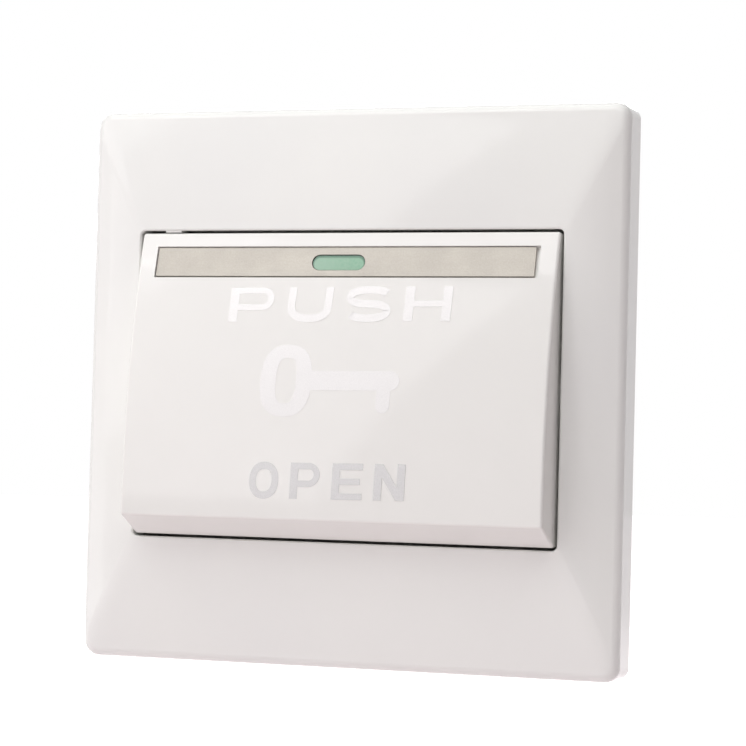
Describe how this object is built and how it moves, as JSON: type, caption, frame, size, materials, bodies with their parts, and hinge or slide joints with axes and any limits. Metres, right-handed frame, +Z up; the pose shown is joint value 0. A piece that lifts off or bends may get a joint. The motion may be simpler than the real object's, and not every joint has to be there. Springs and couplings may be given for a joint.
{
  "type": "door exit button",
  "caption": "Wall plate door release button with a wedge rocker that is pushed in at its lower edge, returns by spring and closes a pair of contacts.",
  "frame": {"origin": "middle of the wall plate's outline, on the wall plane that its back edge lies in", "axes": "+X to the right seen from the front, +Z up with the hinge side of the rocker on top, +Y into the wall"},
  "size_m": [0.086, 0.0357, 0.086],
  "materials": {
    "frame_plastic": "gloss white moulded ABS",
    "rocker_plastic": "gloss white moulded ABS",
    "inner_plastic": "plain off-white moulded ABS",
    "strip_metal": "champagne anodised, fine grain",
    "luminous": "pale green luminous plastic",
    "brass": "stamped brass",
    "contact_silver": "silver alloy contact",
    "spring_steel": "drawn spring wire",
    "plated_steel": "zinc plated steel"
  },
  "bodies": {
    "base": {"outer_frame": "frame_plastic", "mounting_plate": "inner_plastic", "switch_housing": "inner_plastic", "return_spring": "spring_steel", "terminal_common": "brass", "terminal_open": "brass", "fixed_contact_left": "contact_silver", "fixed_contact_right": "contact_silver", "clamp_washer_left": "plated_steel", "clamp_washer_right": "plated_steel", "terminal_screws": "plated_steel", "housing_screws": "plated_steel"},
    "rocker": {"rocker_button": "rocker_plastic", "accent_strip": "strip_metal", "indicator_lens": "luminous"},
    "plunger": {"plunger": "inner_plastic", "contact_bridge": "brass", "moving_contact_left": "contact_silver", "moving_contact_right": "contact_silver", "contact_spring": "spring_steel"}
  },
  "joints": [
    {"name": "rocker_press", "type": "hinge", "parent": "base", "child": "rocker", "pos_m": [0, -0.0043, 0.0186], "axis": [1, 0, 0], "range_deg": [0, 4.5], "stiffness_Nm_per_rad": 0.9, "springref_deg": -8.02},
    {"name": "plunger_slide", "type": "slide", "parent": "base", "child": "plunger", "axis": [0, 1, 0], "range_m": [0, 0.00147], "deforming": ["return_spring"]}
  ],
  "couplings": [
    {"joint": "plunger_slide", "follows": "rocker_press", "m_per_rad": 0.0186}
  ]
}
